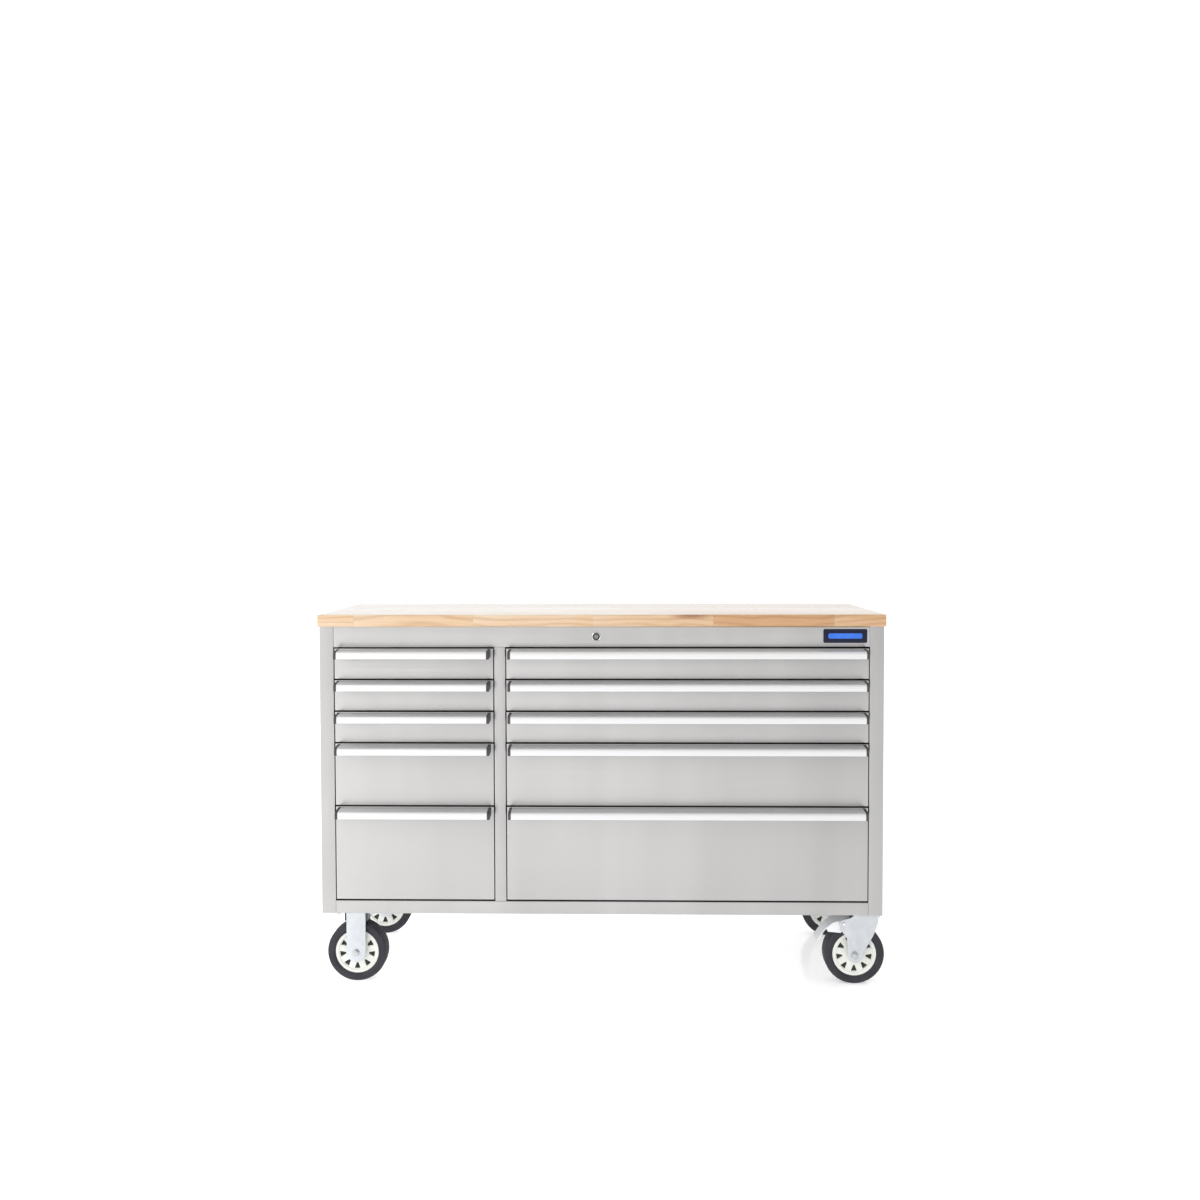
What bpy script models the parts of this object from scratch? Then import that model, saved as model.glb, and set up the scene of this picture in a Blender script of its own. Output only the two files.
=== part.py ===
"""Ten-drawer rolling tool chest: steel cabinet, timber worktop, ball-slide drawers and four casters.

Metres. X runs to the right, Y to the back, Z up. The origin is on the floor, under the middle of the object.
"""

from math import cos, pi, radians, sin

import bmesh
import bpy
from mathutils import Matrix, Vector

# Overall sizes
WORKTOP_WIDTH = 1.400
WORKTOP_DEPTH = 0.480
WORKTOP_THICKNESS = 0.0297
TOTAL_HEIGHT = 0.930
BODY_WIDTH = 1.392
BODY_DEPTH = 0.4653
BODY_BOTTOM = 0.184
BODY_TOP = 0.900
WORKTOP_OVERHANG = 0.006
HANDLE_REACH = 0.042
CAP_PROUD = 0.0005
HANDLE_BEND = 0.0075
HANDLE_WALL = 0.0022
HANDLE_DROP = 0.0225

# Sheet metal and clearances
SHEET = 0.0012
FIT = 0.0003
DRAWER_GAP = 0.0035
BITE = 0.0005

# The front: every Y below is counted backwards from the faces of the drawers
FRONT = (HANDLE_REACH + CAP_PROUD - (WORKTOP_DEPTH - WORKTOP_OVERHANG)) / 2
OPENING_BOTTOM = 0.218
OPENING_TOP = 0.848
DRAWER_UNITS = (1, 1, 1, 2, 3)
UNIT = (OPENING_TOP - OPENING_BOTTOM) / sum(DRAWER_UNITS)
COLUMNS = {"left": (-0.659, -0.2645), "right": (-0.2328, 0.659)}
RAIL_DEPTH = 0.020

# Drawers
PAN_DEPTH = 0.016
TRAY_DEPTH = 0.430
TRAY_LIFT = 0.006
TRAY_HEADROOM = 0.009
TRAY_INSET = 0.00925
SLIDE_START = 0.022
SLIDE_LENGTH = 0.420
SLIDE_CENTRE = 0.026
CHANNEL_HALF = 0.018
CHANNEL_REACH = 0.0105
RAIL_HALF = 0.012
RAIL_REACH = 0.011

# Lock
LOCK_X = -0.010
LOCK_Z = 0.8758
LOCK_LIFT = 0.008
CAM_RADIUS = 0.008
BAR_X = -0.24865
BAR_FRONT = 0.030
FINGER_LOW = 0.046
FINGER_HEIGHT = 0.004
CATCH_LOW = 0.052
CATCH_HIGH = 0.064

# Casters
WHEEL_RADIUS = 0.075
TYRE_SIDES = 32
RIM_RADIUS = 0.0545
TREAD_HALF = 0.0225
WINDOWS = 9
WEB_HALF = 0.0165
POCKET_FLOOR = 0.0010
AXLE_RADIUS = 0.005
BORE_RADIUS = 0.0056
LEG_INNER = 0.0275
LEG_OUTER = 0.0305
CASTER_TOP = BODY_BOTTOM - FIT
PLATE_THICKNESS = 0.0032
CASTER_INSET = 0.055
CASTER_ROWS = {"front": CASTER_INSET, "rear": BODY_DEPTH - CASTER_INSET}
FIXED_X = -0.617
KINGPIN_X = 0.660
TRAIL = 0.026
PEDAL_PIVOT = (-0.055, 0.1545)

STEEL = (0.62, 0.62, 0.61, 1.0)


# ---- helpers -------------------------------------------------------------------------------------


def clear_scene():
    for thing in list(bpy.data.objects):
        bpy.data.objects.remove(thing, do_unlink=True)


def finish_shape(shape, name):
    """A mesh object in world coordinates from a bmesh, with clean normals."""
    bmesh.ops.remove_doubles(shape, verts=shape.verts, dist=1e-6)
    bmesh.ops.recalc_face_normals(shape, faces=shape.faces)
    mesh = bpy.data.meshes.new(name)
    shape.to_mesh(mesh)
    shape.free()
    thing = bpy.data.objects.new(name, mesh)
    bpy.context.scene.collection.objects.link(thing)
    return thing


def block(low, high, name="block"):
    """A box between two corners."""
    shape = bmesh.new()
    bmesh.ops.create_cube(shape, size=1.0)
    low, high = Vector(low), Vector(high)
    bmesh.ops.scale(shape, verts=shape.verts, vec=high - low)
    bmesh.ops.translate(shape, verts=shape.verts, vec=(low + high) / 2)
    return finish_shape(shape, name)


def prism(outline, axis, start, end, name="prism"):
    """An outline in the plane across an axis, extruded along it from start to end."""
    place = {
        "X": lambda a, b: Vector((start, a, b)),
        "Y": lambda a, b: Vector((a, start, b)),
        "Z": lambda a, b: Vector((a, b, start)),
    }[axis]
    along = Vector([float(axis == letter) for letter in "XYZ"]) * (end - start)
    shape = bmesh.new()
    face = shape.faces.new([shape.verts.new(place(a, b)) for a, b in outline])
    grown = bmesh.ops.extrude_face_region(shape, geom=[face])
    moved = [item for item in grown["geom"] if isinstance(item, bmesh.types.BMVert)]
    bmesh.ops.translate(shape, verts=moved, vec=along)
    return finish_shape(shape, name)


def turned(profile, axis, centre, steps, name="turned"):
    """A closed (radius, height) profile spun about the Y or Z axis through a centre."""
    shape = bmesh.new()
    aside = Vector((1, 0, 0))
    along = Vector((0, 1, 0)) if axis == "Y" else Vector((0, 0, 1))
    centre = Vector(centre)
    verts = [shape.verts.new(centre + aside * r + along * h) for r, h in profile]
    ring = [shape.edges.new((a, b)) for a, b in zip(verts, verts[1:] + verts[:1])]
    half = Matrix.Rotation(pi / steps, 3, along)
    bmesh.ops.rotate(shape, verts=shape.verts, cent=centre, matrix=half)
    bmesh.ops.spin(
        shape, geom=verts + ring, cent=centre, axis=along, angle=2 * pi, steps=steps, use_merge=True
    )
    flat = [face for face in shape.faces if face.calc_area() < 1e-12]
    bmesh.ops.delete(shape, geom=flat, context="FACES")
    bmesh.ops.dissolve_degenerate(shape, edges=shape.edges, dist=1e-7)
    return finish_shape(shape, name)


def combine(base, others, operation="UNION"):
    """Applies Boolean modifiers to a base, one for each other object, and removes those objects."""
    for other in others:
        step = base.modifiers.new("combine", "BOOLEAN")
        step.operation = operation
        step.solver = "EXACT"
        step.object = other
    graph = bpy.context.evaluated_depsgraph_get()
    mesh = bpy.data.meshes.new_from_object(base.evaluated_get(graph))
    base.modifiers.clear()
    base.data = mesh
    for other in others:
        bpy.data.objects.remove(other, do_unlink=True)
    return base


def cut(base, *cutters):
    return combine(base, cutters, "DIFFERENCE")


def round_off(thing, angle=35):
    thing.data.shade_smooth()
    thing.data.set_sharp_from_angle(angle=radians(angle))


def material(name, colour, metallic, roughness):
    made = bpy.data.materials.get(name)
    if made is None:
        made = bpy.data.materials.new(name)
        made.use_nodes = True
        shader = made.node_tree.nodes["Principled BSDF"]
        shader.inputs["Base Color"].default_value = colour
        shader.inputs["Metallic"].default_value = metallic
        shader.inputs["Roughness"].default_value = roughness
        made.diffuse_color = colour
    return made


def body(name, place, parent=None):
    """An empty at a world place on a moving body's joint axis; its pieces are parented to it."""
    empty = bpy.data.objects.new(name, None)
    empty.parent = parent
    empty.location = Vector(place) - (world_place(parent) if parent else Vector())
    bpy.context.scene.collection.objects.link(empty)
    return empty


def world_place(empty):
    """World place of an empty, through its parents."""
    place = Vector(empty.location)
    while empty.parent:
        empty = empty.parent
        place += Vector(empty.location)
    return place


def keep(thing, name, parent, finish, smooth=False):
    """Names a finished piece, gives it its material and hangs it under its body's empty."""
    thing.name = name
    thing.data.name = name
    thing.data.transform(Matrix.Translation(-world_place(parent)))
    thing.parent = parent
    thing.data.materials.clear()
    thing.data.materials.append(finish)
    if smooth:
        round_off(thing)
    return thing


def copy_to(thing, name, parent):
    """Another piece with the same mesh, under another body's empty."""
    twin = bpy.data.objects.new(name, thing.data)
    twin.parent = parent
    bpy.context.scene.collection.objects.link(twin)
    return twin


def arc(centre, radius, start, end, steps):
    """Points on an arc, in degrees, both ends included."""
    angles = [radians(start + (end - start) * i / steps) for i in range(steps + 1)]
    return [(centre[0] + radius * cos(a), centre[1] + radius * sin(a)) for a in angles]


def back(distance):
    """The Y that lies this far behind the drawers' faces."""
    return FRONT + distance


def drawer_levels():
    """The lowest Z of each drawer's place, from the top drawer down."""
    level = OPENING_TOP
    levels = []
    for units in DRAWER_UNITS:
        level -= units * UNIT
        levels.append(level)
    return levels


# ---- finishes ------------------------------------------------------------------------------------


def finishes():
    return {
        "stainless": material("stainless_steel", STEEL, 1.0, 0.32),
        "inner": material("inner_steel", (0.45, 0.46, 0.47, 1.0), 1.0, 0.45),
        "worktop": material("laminated_timber", (0.72, 0.50, 0.28, 1.0), 0.0, 0.35),
        "handle": material("anodised_aluminium", (0.85, 0.86, 0.87, 1.0), 1.0, 0.25),
        "zinc": material("zinc_plate", (0.75, 0.77, 0.80, 1.0), 1.0, 0.38),
        "rim": material("rim_plastic", (0.86, 0.86, 0.80, 1.0), 0.0, 0.45),
        "rubber": material("tyre_rubber", (0.035, 0.035, 0.042, 1.0), 0.0, 0.70),
        "chrome": material("chrome", (0.80, 0.80, 0.80, 1.0), 1.0, 0.12),
        "badge": material("badge_enamel", (0.03, 0.05, 0.16, 1.0), 0.0, 0.30),
    }


# ---- cabinet -------------------------------------------------------------------------------------


def side_panel(side, cabinet, finish):
    """Side sheet whose front edge is folded round into the corner post, and back edge into a flange."""
    half = BODY_WIDTH / 2
    post = COLUMNS["right"][1] + DRAWER_GAP / 2
    front, rear = back(0), back(BODY_DEPTH - SHEET - FIT)
    fold = front + 0.018
    outline = [
        (post, fold),
        (post, front),
        (half, front),
        (half, rear),
        (half - 0.020, rear),
        (half - 0.020, rear - SHEET),
        (half - SHEET, rear - SHEET),
        (half - SHEET, front + SHEET),
        (post + SHEET, front + SHEET),
        (post + SHEET, fold),
    ]
    sign = -1 if side == "left" else 1
    outline = [(sign * x, y) for x, y in outline]
    panel = prism(outline, "Z", BODY_BOTTOM, BODY_TOP)
    keep(panel, f"side_panel_{side}", cabinet, finish)


def folded_strip(span, low, high, front, depth, name):
    """A channel along X: a face from low to high, with its edges folded back by a depth."""
    outline = [
        (front, low),
        (front, high),
        (front + depth, high),
        (front + depth, high - SHEET),
        (front + SHEET, high - SHEET),
        (front + SHEET, low + SHEET),
        (front + depth, low + SHEET),
        (front + depth, low),
    ]
    return prism(outline, "X", *span, name=name)


def rails(cabinet, finish):
    reach = COLUMNS["right"][1] + DRAWER_GAP / 2 - FIT
    span = (-reach, reach)
    top = folded_strip(span, OPENING_TOP + DRAWER_GAP / 2, BODY_TOP, back(0), RAIL_DEPTH, "top")
    barrel = [(0, -0.002), (0.0097, -0.002), (0.0097, 0.004), (0, 0.004)]
    hole = turned(barrel, "Y", (LOCK_X, back(0), LOCK_Z), 24)
    keep(cut(top, hole), "top_rail", cabinet, finish)
    low = folded_strip(span, BODY_BOTTOM, OPENING_BOTTOM - DRAWER_GAP / 2, back(0), RAIL_DEPTH, "low")
    keep(low, "bottom_rail", cabinet, finish)


def divider(cabinet, finish):
    left = COLUMNS["left"][1] + DRAWER_GAP / 2
    right = COLUMNS["right"][0] - DRAWER_GAP / 2
    front, rear = back(0), back(RAIL_DEPTH)
    outline = [
        (left, front),
        (right, front),
        (right, rear),
        (right - SHEET, rear),
        (right - SHEET, front + SHEET),
        (left + SHEET, front + SHEET),
        (left + SHEET, rear),
        (left, rear),
    ]
    low = OPENING_BOTTOM - DRAWER_GAP / 2 + FIT
    high = OPENING_TOP + DRAWER_GAP / 2 - FIT
    keep(prism(outline, "Z", low, high), "centre_divider", cabinet, finish)


def pan(low_z, high_z, upward, name, cabinet, finish):
    """Floor or deck sheet with its front and rear edges folded up or down."""
    half = BODY_WIDTH / 2 - SHEET - FIT - 0.0002
    near, far = back(RAIL_DEPTH + FIT), back(BODY_DEPTH - 2 * SHEET - 2 * FIT - 0.0002)
    flat, lip = (low_z, high_z) if upward else (high_z, low_z)
    inner = flat + SHEET if upward else flat - SHEET
    outline = [
        (near, flat),
        (far, flat),
        (far, lip),
        (far - SHEET, lip),
        (far - SHEET, inner),
        (near + SHEET, inner),
        (near + SHEET, lip),
        (near, lip),
    ]
    keep(prism(outline, "X", -half, half), name, cabinet, finish)


def back_panel(cabinet, finish):
    half = BODY_WIDTH / 2 - 0.002
    low, high = BODY_BOTTOM + 0.001, BODY_TOP - 0.001
    sheet = block((-half, back(BODY_DEPTH - SHEET), low), (half, back(BODY_DEPTH), high))
    keep(sheet, "back_panel", cabinet, finish)


def worktop(cabinet, finish):
    half = WORKTOP_WIDTH / 2
    low = TOTAL_HEIGHT - WORKTOP_THICKNESS
    near = back(-WORKTOP_OVERHANG)
    slab = block((-half, near, low), (half, near + WORKTOP_DEPTH, TOTAL_HEIGHT))
    keep(slab, "worktop", cabinet, finish)
    ease = slab.modifiers.new("eased_edges", "BEVEL")
    ease.width = 0.0015
    ease.segments = 1


def slide_panel(name, plane, inward, cabinet, finish, with_windows):
    """Liner sheet with five slide channels standing off it towards the drawers."""
    level_floor = 0.1875
    level_roof = LOCK_Z - 0.0120 if with_windows else 0.8940
    outer = plane - inward * SHEET
    edges = sorted((plane, outer))
    ends = (back(SLIDE_START), back(SLIDE_START + SLIDE_LENGTH))
    sheet = block((edges[0], ends[0], level_floor), (edges[1], ends[1] + 0.008, level_roof))
    tip = plane + inward * CHANNEL_REACH
    flanges = []
    for level in drawer_levels():
        centre = level + DRAWER_GAP / 2 + SLIDE_CENTRE
        for side in (-1, 1):
            rim = sorted((centre + side * CHANNEL_HALF, centre + side * (CHANNEL_HALF - SHEET)))
            across = sorted((plane - inward * BITE, tip))
            flanges.append(block((across[0], ends[0] - FIT, rim[0]), (across[1], ends[1], rim[1])))
    sheet = combine(sheet, flanges)
    if with_windows:
        slots = []
        for level in drawer_levels():
            base = level + DRAWER_GAP / 2 + FINGER_LOW
            low = (edges[0] - BITE, back(BAR_FRONT - 0.002), base - 0.0012)
            high = (edges[1] + BITE, back(BAR_FRONT + 0.012), base + FINGER_HEIGHT + LOCK_LIFT + 0.002)
            slots.append(block(low, high))
        sheet = cut(sheet, *slots)
    keep(sheet, name, cabinet, finish)


def slide_panels(cabinet, finish):
    half_gap = DRAWER_GAP / 2
    left, right = COLUMNS["left"], COLUMNS["right"]
    slide_panel("slide_panel_left_outer", left[0] - half_gap, 1, cabinet, finish, False)
    slide_panel("slide_panel_left_inner", left[1] + half_gap, -1, cabinet, finish, True)
    slide_panel("slide_panel_right_inner", right[0] - half_gap, 1, cabinet, finish, True)
    slide_panel("slide_panel_right_outer", right[1] + half_gap, -1, cabinet, finish, False)


def badge(cabinet, finish):
    """Blank name plate with rounded ends."""
    low, high, half, radius = 0.547, 0.654, 0.017, 0.006
    centre = 0.877
    corners = [
        ((high - radius, centre + half - radius), 0),
        ((low + radius, centre + half - radius), 90),
        ((low + radius, centre - half + radius), 180),
        ((high - radius, centre - half + radius), 270),
    ]
    outline = [point for spot, start in corners for point in arc(spot, radius, start, start + 90, 3)]
    plate = prism(outline, "Y", back(-0.0018), back(-FIT))
    keep(plate, "name_plate", cabinet, finish)


# ---- lock ----------------------------------------------------------------------------------------


def lock_housing(cabinet, finish):
    profile = [
        (0.0056, -0.0030),
        (0.0100, -0.0030),
        (0.0112, -0.0018),
        (0.0112, -FIT),
        (0.0093, -FIT),
        (0.0093, 0.0220),
        (0.0056, 0.0220),
    ]
    ring = turned(profile, "Y", (LOCK_X, back(0), LOCK_Z), 24)
    keep(ring, "lock_housing", cabinet, finish, smooth=True)


def lock_plug(cabinet, finish):
    """Key barrel, with the cam arm and its pin on the inner end."""
    profile = [(0, -0.0034), (0.0048, -0.0034), (0.0052, -0.0030), (0.0052, 0.0262), (0, 0.0262)]
    barrel = turned(profile, "Y", (LOCK_X, back(0), LOCK_Z), 20)
    reach = CAM_RADIUS + 0.004
    arm = block(
        (LOCK_X - reach, back(0.0232), LOCK_Z - 0.0045), (LOCK_X + 0.0046, back(0.0252), LOCK_Z + 0.0043)
    )
    pin = turned(
        [(0, 0.0240), (0.0020, 0.0240), (0.0020, 0.0335), (0, 0.0335)],
        "Y",
        (LOCK_X - CAM_RADIUS, back(0), LOCK_Z),
        12,
    )
    joint = body("lock_plug_body", (LOCK_X, back(0), LOCK_Z), cabinet)
    keep(combine(barrel, [arm, pin]), "lock_plug", joint, finish, smooth=True)


def lock_bar(cabinet, finish):
    """Upright bar between the drawer columns, with a finger pair at each level and an arm to the cam."""
    near, far = back(BAR_FRONT), back(BAR_FRONT + 0.008)
    low, high = 0.1945, 0.8800
    post = block((BAR_X - 0.004, near, low), (BAR_X + 0.004, far, high))
    fingers = []
    for level in drawer_levels():
        base = level + DRAWER_GAP / 2 + FINGER_LOW
        reach = 0.0238
        tine = block(
            (BAR_X - reach, near + BITE, base), (BAR_X + reach, far - BITE, base + FINGER_HEIGHT)
        )
        fingers.append(tine)
    arm_near, arm_far = back(BAR_FRONT - 0.0022), back(BAR_FRONT + 0.0004)
    plate_left, plate_right = LOCK_X - CAM_RADIUS - 0.008, LOCK_X + 0.008
    arm = block((BAR_X - 0.003, arm_near, LOCK_Z - 0.0085), (plate_right, arm_far, LOCK_Z + 0.0085))
    bar = combine(post, fingers + [arm])
    window = block(
        (plate_left + 0.004, arm_near - BITE, LOCK_Z - 0.0050),
        (plate_right - 0.003, arm_far + BITE, LOCK_Z + 0.0050),
    )
    joint = body("lock_bar_body", (BAR_X, back(BAR_FRONT), low), cabinet)
    keep(cut(bar, window), "lock_bar", joint, finish)


# ---- drawers -------------------------------------------------------------------------------------


def tray_mesh(column, left, right, low, high):
    """Drawer: a front pan open at the back, an open-topped tray, two slide rails and the lock catch."""
    skin, rear = back(0), back(TRAY_DEPTH)
    front = block((left, skin, low), (right, skin + PAN_DEPTH, high))
    hollow = block(
        (left + SHEET, skin + SHEET, low + SHEET), (right - SHEET, skin + PAN_DEPTH + 0.002, high - SHEET)
    )
    front = cut(front, hollow)
    tray_left, tray_right = left + TRAY_INSET, right - TRAY_INSET
    floor, rim = low + TRAY_LIFT, high - TRAY_HEADROOM
    box = block((tray_left, skin + SHEET / 2, floor), (tray_right, rear, rim))
    inside = block(
        (tray_left + SHEET, skin + SHEET * 0.8, floor + SHEET),
        (tray_right - SHEET, rear - SHEET, rim + 0.01),
    )
    box = cut(box, inside)
    middle = low + SLIDE_CENTRE
    parts = [box]
    for wall, way in ((tray_left, -1), (tray_right, 1)):
        across = sorted((wall - way * BITE, wall + way * RAIL_REACH))
        parts.append(
            block(
                (across[0], back(SLIDE_START + 0.002), middle - RAIL_HALF),
                (across[1], back(SLIDE_START + 0.402), middle + RAIL_HALF),
            )
        )
    inner_wall, way = (tray_right, 1) if column == "left" else (tray_left, -1)
    across = sorted((inner_wall - way * BITE, inner_wall + way * 0.0082))
    catch = block(
        (across[0], back(BAR_FRONT + 0.010), low + CATCH_LOW),
        (across[1], back(BAR_FRONT + 0.018), low + CATCH_HIGH),
    )
    return combine(front, parts + [catch])


def handle_outline(shift=0.0):
    """Pull section in Y and Z, from the drawer's face and its top edge; shift fattens it outwards."""
    bend = (back(HANDLE_BEND - HANDLE_REACH), -0.0117)
    outer = arc(bend, HANDLE_BEND + shift, 90, 180, 4)
    inner = arc(bend, HANDLE_BEND - HANDLE_WALL, 180, 90, 4)
    return outer, inner


def handle_mesh(left, right, top):
    """Full-width pull: mounting flange, sloping top and front lip, closed by an end plate at each end."""
    outer, inner = handle_outline()
    tail, lip = back(-FIT), back(-HANDLE_REACH)
    section = [(tail, -0.0018)] + outer + [(lip, -HANDLE_DROP), (lip + HANDLE_WALL, -HANDLE_DROP)]
    section += inner + [(tail - HANDLE_WALL, -0.0041), (tail - HANDLE_WALL, -0.0190), (tail, -0.0190)]
    section = [(y, z + top) for y, z in section]
    cap_arc, _ = handle_outline(CAP_PROUD)
    low = -HANDLE_DROP - CAP_PROUD
    cap = [(tail - FIT, -0.0013)] + cap_arc + [(lip - CAP_PROUD, low), (tail - FIT, -0.0195)]
    cap = [(y, z + top) for y, z in cap]
    pull = prism(section, "X", left + 0.002, right - 0.002)
    caps = [prism(cap, "X", left, left + 0.006), prism(cap, "X", right - 0.006, right)]
    return combine(pull, caps)


def drawers(cabinet, steel, bright):
    for column, (left, right) in COLUMNS.items():
        left, right = left + DRAWER_GAP / 2, right - DRAWER_GAP / 2
        models = {}
        for number, (level, units) in enumerate(zip(drawer_levels(), DRAWER_UNITS), 1):
            low = level + DRAWER_GAP / 2
            high = low + units * UNIT - DRAWER_GAP
            joint = body(f"drawer_{column}_{number}_body", ((left + right) / 2, back(0), low), cabinet)
            tray_name = f"drawer_{column}_{number}"
            handle_name = f"handle_{column}_{number}"
            if units in models:
                copy_to(models[units][0], tray_name, joint)
                copy_to(models[units][1], handle_name, joint)
                continue
            tray = keep(tray_mesh(column, left, right, low, high), tray_name, joint, steel)
            pull = handle_mesh(left + 0.005, right - 0.005, high)
            models[units] = (tray, keep(pull, handle_name, joint, bright))


# ---- casters -------------------------------------------------------------------------------------


def tyre(hub_spot):
    crown = WHEEL_RADIUS / cos(pi / TYRE_SIDES)
    profile = [
        (RIM_RADIUS + 0.0004, -0.0190),
        (0.0610, -TREAD_HALF),
        (0.0700, -TREAD_HALF),
        (crown, -0.0150),
        (crown, 0.0150),
        (0.0700, TREAD_HALF),
        (0.0610, TREAD_HALF),
        (RIM_RADIUS + 0.0004, 0.0190),
    ]
    return turned(profile, "Y", hub_spot, TYRE_SIDES)


def wheel_core(hub_spot):
    """Hub, deep web and rim in one moulding, with wedge-shaped pockets in both faces of the web."""
    half = [
        (BORE_RADIUS, -0.0262),
        (0.0140, -0.0262),
        (0.0160, -WEB_HALF),
        (0.0458, -WEB_HALF),
        (0.0472, -0.0195),
        (RIM_RADIUS, -0.0195),
    ]
    profile = half + [(radius, -height) for radius, height in reversed(half)]
    core = turned(profile, "Y", hub_spot, 24)
    x, y, z = hub_spot
    cutters = []
    for step in range(WINDOWS):
        turn = 360 * step / WINDOWS + 10
        wide, narrow = (turn - 10.5, turn + 10.5, 2), (turn + 4, turn - 4, 1)
        outline = arc((x, z), 0.0445, *wide) + arc((x, z), 0.0290, *narrow)
        cutters.append(prism(outline, "Y", y - 0.020, y - POCKET_FLOOR))
        cutters.append(prism(outline, "Y", y + POCKET_FLOOR, y + 0.020))
    return cut(core, *cutters)


def axle(hub_spot):
    profile = [(0, -0.0375), (0.0085, -0.0362), (0.0085, -0.0309), (AXLE_RADIUS, -0.0309)]
    profile += [(radius, -height) for radius, height in reversed(profile)]
    return turned(profile, "Y", hub_spot, 12)


def axle_hole(hub_spot):
    return turned(
        [(0, -0.04), (BORE_RADIUS, -0.04), (BORE_RADIUS, 0.04), (0, 0.04)], "Y", hub_spot, 16
    )


def leg_pair(outline, middle):
    """Two equal plates, one each side of the wheel."""
    return [
        prism(outline, "Y", middle - LEG_OUTER, middle - LEG_INNER),
        prism(outline, "Y", middle + LEG_INNER, middle + LEG_OUTER),
    ]


def fixed_bracket(middle):
    """Rigid caster bracket: a top plate, a square yoke under it and two straight legs down to the axle."""
    x, half, skin = FIXED_X, 0.024, 0.0024
    plate = block(
        (x - 0.050, middle - 0.0425, CASTER_TOP - PLATE_THICKNESS), (x + 0.050, middle + 0.0425, CASTER_TOP)
    )
    top = CASTER_TOP - 0.001
    outline = [(x + half, top), (x - half, top)] + arc((x, WHEEL_RADIUS), half, 180, 360, 10)
    side, end, low = 0.0290, LEG_INNER + 0.0012, 0.1560
    yoke = block((x - side, middle - end, low), (x + side, middle + end, top))
    inside, through = side - skin, end - skin
    hollow = block((x - inside, middle - through, low - BITE), (x + inside, middle + through, top - skin))
    bracket = combine(plate, [cut(yoke, hollow)] + leg_pair(outline, middle))
    return cut(bracket, axle_hole((x, middle, WHEEL_RADIUS)))


def swivel_plate(middle):
    """Top plate with the bearing race under it and the kingpin that carries the fork."""
    x = KINGPIN_X
    low = CASTER_TOP - PLATE_THICKNESS
    plate = block((x - 0.035, middle - 0.050, low), (x + 0.035, middle + 0.050, CASTER_TOP))
    profile = [
        (0, 0.1625),
        (0.0100, 0.1625),
        (0.0100, 0.1698),
        (0.0060, 0.1698),
        (0.0060, 0.1748),
        (0.0280, 0.1748),
        (0.0300, 0.1765),
        (0.0300, CASTER_TOP - 0.001),
        (0, CASTER_TOP - 0.001),
    ]
    return combine(plate, [turned(profile, "Z", (x, middle, 0), 20)])


def fork(middle):
    """Swivelling fork: a crown under the race, and two cheeks that trail to the axle and carry the pedal."""
    x = KINGPIN_X
    hub = (x - TRAIL, WHEEL_RADIUS)
    pivot = (x + PEDAL_PIVOT[0], PEDAL_PIVOT[1])
    top = 0.1738
    crown = block((x - 0.031, middle - 0.0300, 0.1708), (x + 0.031, middle + 0.0300, 0.1742))
    outline = [(x + 0.0312, top), (x + 0.0312, 0.160), (x + 0.020, 0.128)]
    outline += list(reversed(arc(hub, 0.019, 175, 370, 9)))
    outline += [(x - 0.046, 0.118), (x - 0.060, 0.137)]
    outline += list(reversed(arc(pivot, 0.0100, 120, 220, 4)))
    outline += [(x - 0.040, 0.1685), (x - 0.0312, top)]
    shaped = combine(crown, leg_pair(outline, middle))
    kingpin_hole = turned([(0, 0.165), (0.0070, 0.165), (0.0070, 0.18), (0, 0.18)], "Z", (x, middle, 0), 16)
    trunnions = [(0, -0.04), (0.0043, -0.04), (0.0043, 0.04), (0, 0.04)]
    pivot_hole = turned(trunnions, "Y", (pivot[0], middle, pivot[1]), 12)
    return cut(shaped, kingpin_hole, axle_hole((hub[0], middle, hub[1])), pivot_hole)


def pedal(middle):
    """Brake pedal: a bent plate with two flanks between the cheeks, its trunnion bar, and the tyre shoe."""
    x, z = KINGPIN_X + PEDAL_PIVOT[0], PEDAL_PIVOT[1]
    thick = 0.0030
    ridge = [
        (x + 0.018, z + 0.0125),
        (x + 0.002, z + 0.0085),
        (x - 0.026, z + 0.0015),
        (x - 0.046, z - 0.0150),
        (x - 0.0655, z - 0.0430),
    ]
    under = [(a - 0.0003, b - thick) for a, b in ridge[:4]] + [(ridge[4][0] + thick, ridge[4][1] - 0.0004)]
    plate = prism(ridge + list(reversed(under)), "Y", middle - 0.0255, middle + 0.0255)
    bar = turned([(0, -0.0330), (0.0038, -0.0330), (0.0038, 0.0330), (0, 0.0330)], "Y", (x, middle, z), 12)
    saddle = block((x - 0.004, middle - 0.0245, z), (x + 0.004, middle + 0.0245, z + 0.0070))
    shoe = prism(
        [(x - 0.022, z - 0.0100), (x - 0.010, z - 0.0045), (x - 0.010, z + 0.0036), (x - 0.022, z + 0.0010)],
        "Y",
        middle - 0.0150,
        middle + 0.0150,
    )
    flank = [
        (x + 0.006, z + 0.0060),
        (x - 0.026, z),
        (x - 0.042, z - 0.0130),
        (x - 0.038, z - 0.0210),
        (x - 0.006, z - 0.0240),
        (x + 0.006, z - 0.0120),
    ]
    inner, outer = TREAD_HALF + 0.0007, 0.0255
    flanks = [
        prism(flank, "Y", middle - outer, middle - inner),
        prism(flank, "Y", middle + inner, middle + outer),
    ]
    return combine(plate, [bar, saddle, shoe] + flanks)


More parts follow.
